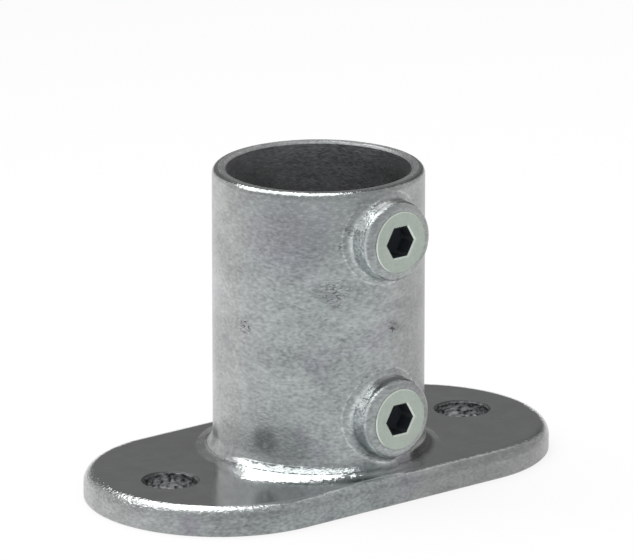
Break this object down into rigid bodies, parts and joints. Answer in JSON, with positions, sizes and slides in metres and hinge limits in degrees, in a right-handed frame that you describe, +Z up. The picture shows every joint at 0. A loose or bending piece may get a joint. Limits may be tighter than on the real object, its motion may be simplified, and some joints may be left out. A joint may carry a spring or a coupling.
{
  "type": "tube clamp base flange",
  "caption": "Oblong cast base flange whose upright socket takes a round handrail tube and grips it with hexagon-socket set screws.",
  "frame": {"origin": "centre of the plate's underside, on the axis of the tube socket", "axes": "+Z up the socket, +X along the plate's length; the set screws face -Y"},
  "size_m": [0.14, 0.073, 0.0848],
  "materials": {
    "galvanised_casting": "malleable cast iron, hot-dip galvanised, satin light grey with a fine mottle",
    "zinc_plated_steel": "zinc plated, satin, faintly greenish"
  },
  "bodies": {
    "flange": {"flange_casting": "galvanised_casting"},
    "upper_screw": {"set_screw_upper": "zinc_plated_steel"},
    "lower_screw": {"set_screw_lower": "zinc_plated_steel"}
  },
  "joints": [
    {"name": "upper_screw_travel", "type": "slide", "parent": "flange", "child": "upper_screw", "axis": [0, 1, 0], "range_m": [-0.004, 0.00145]},
    {"name": "lower_screw_travel", "type": "slide", "parent": "flange", "child": "lower_screw", "axis": [0, 1, 0], "range_m": [-0.004, 0.00145]}
  ]
}
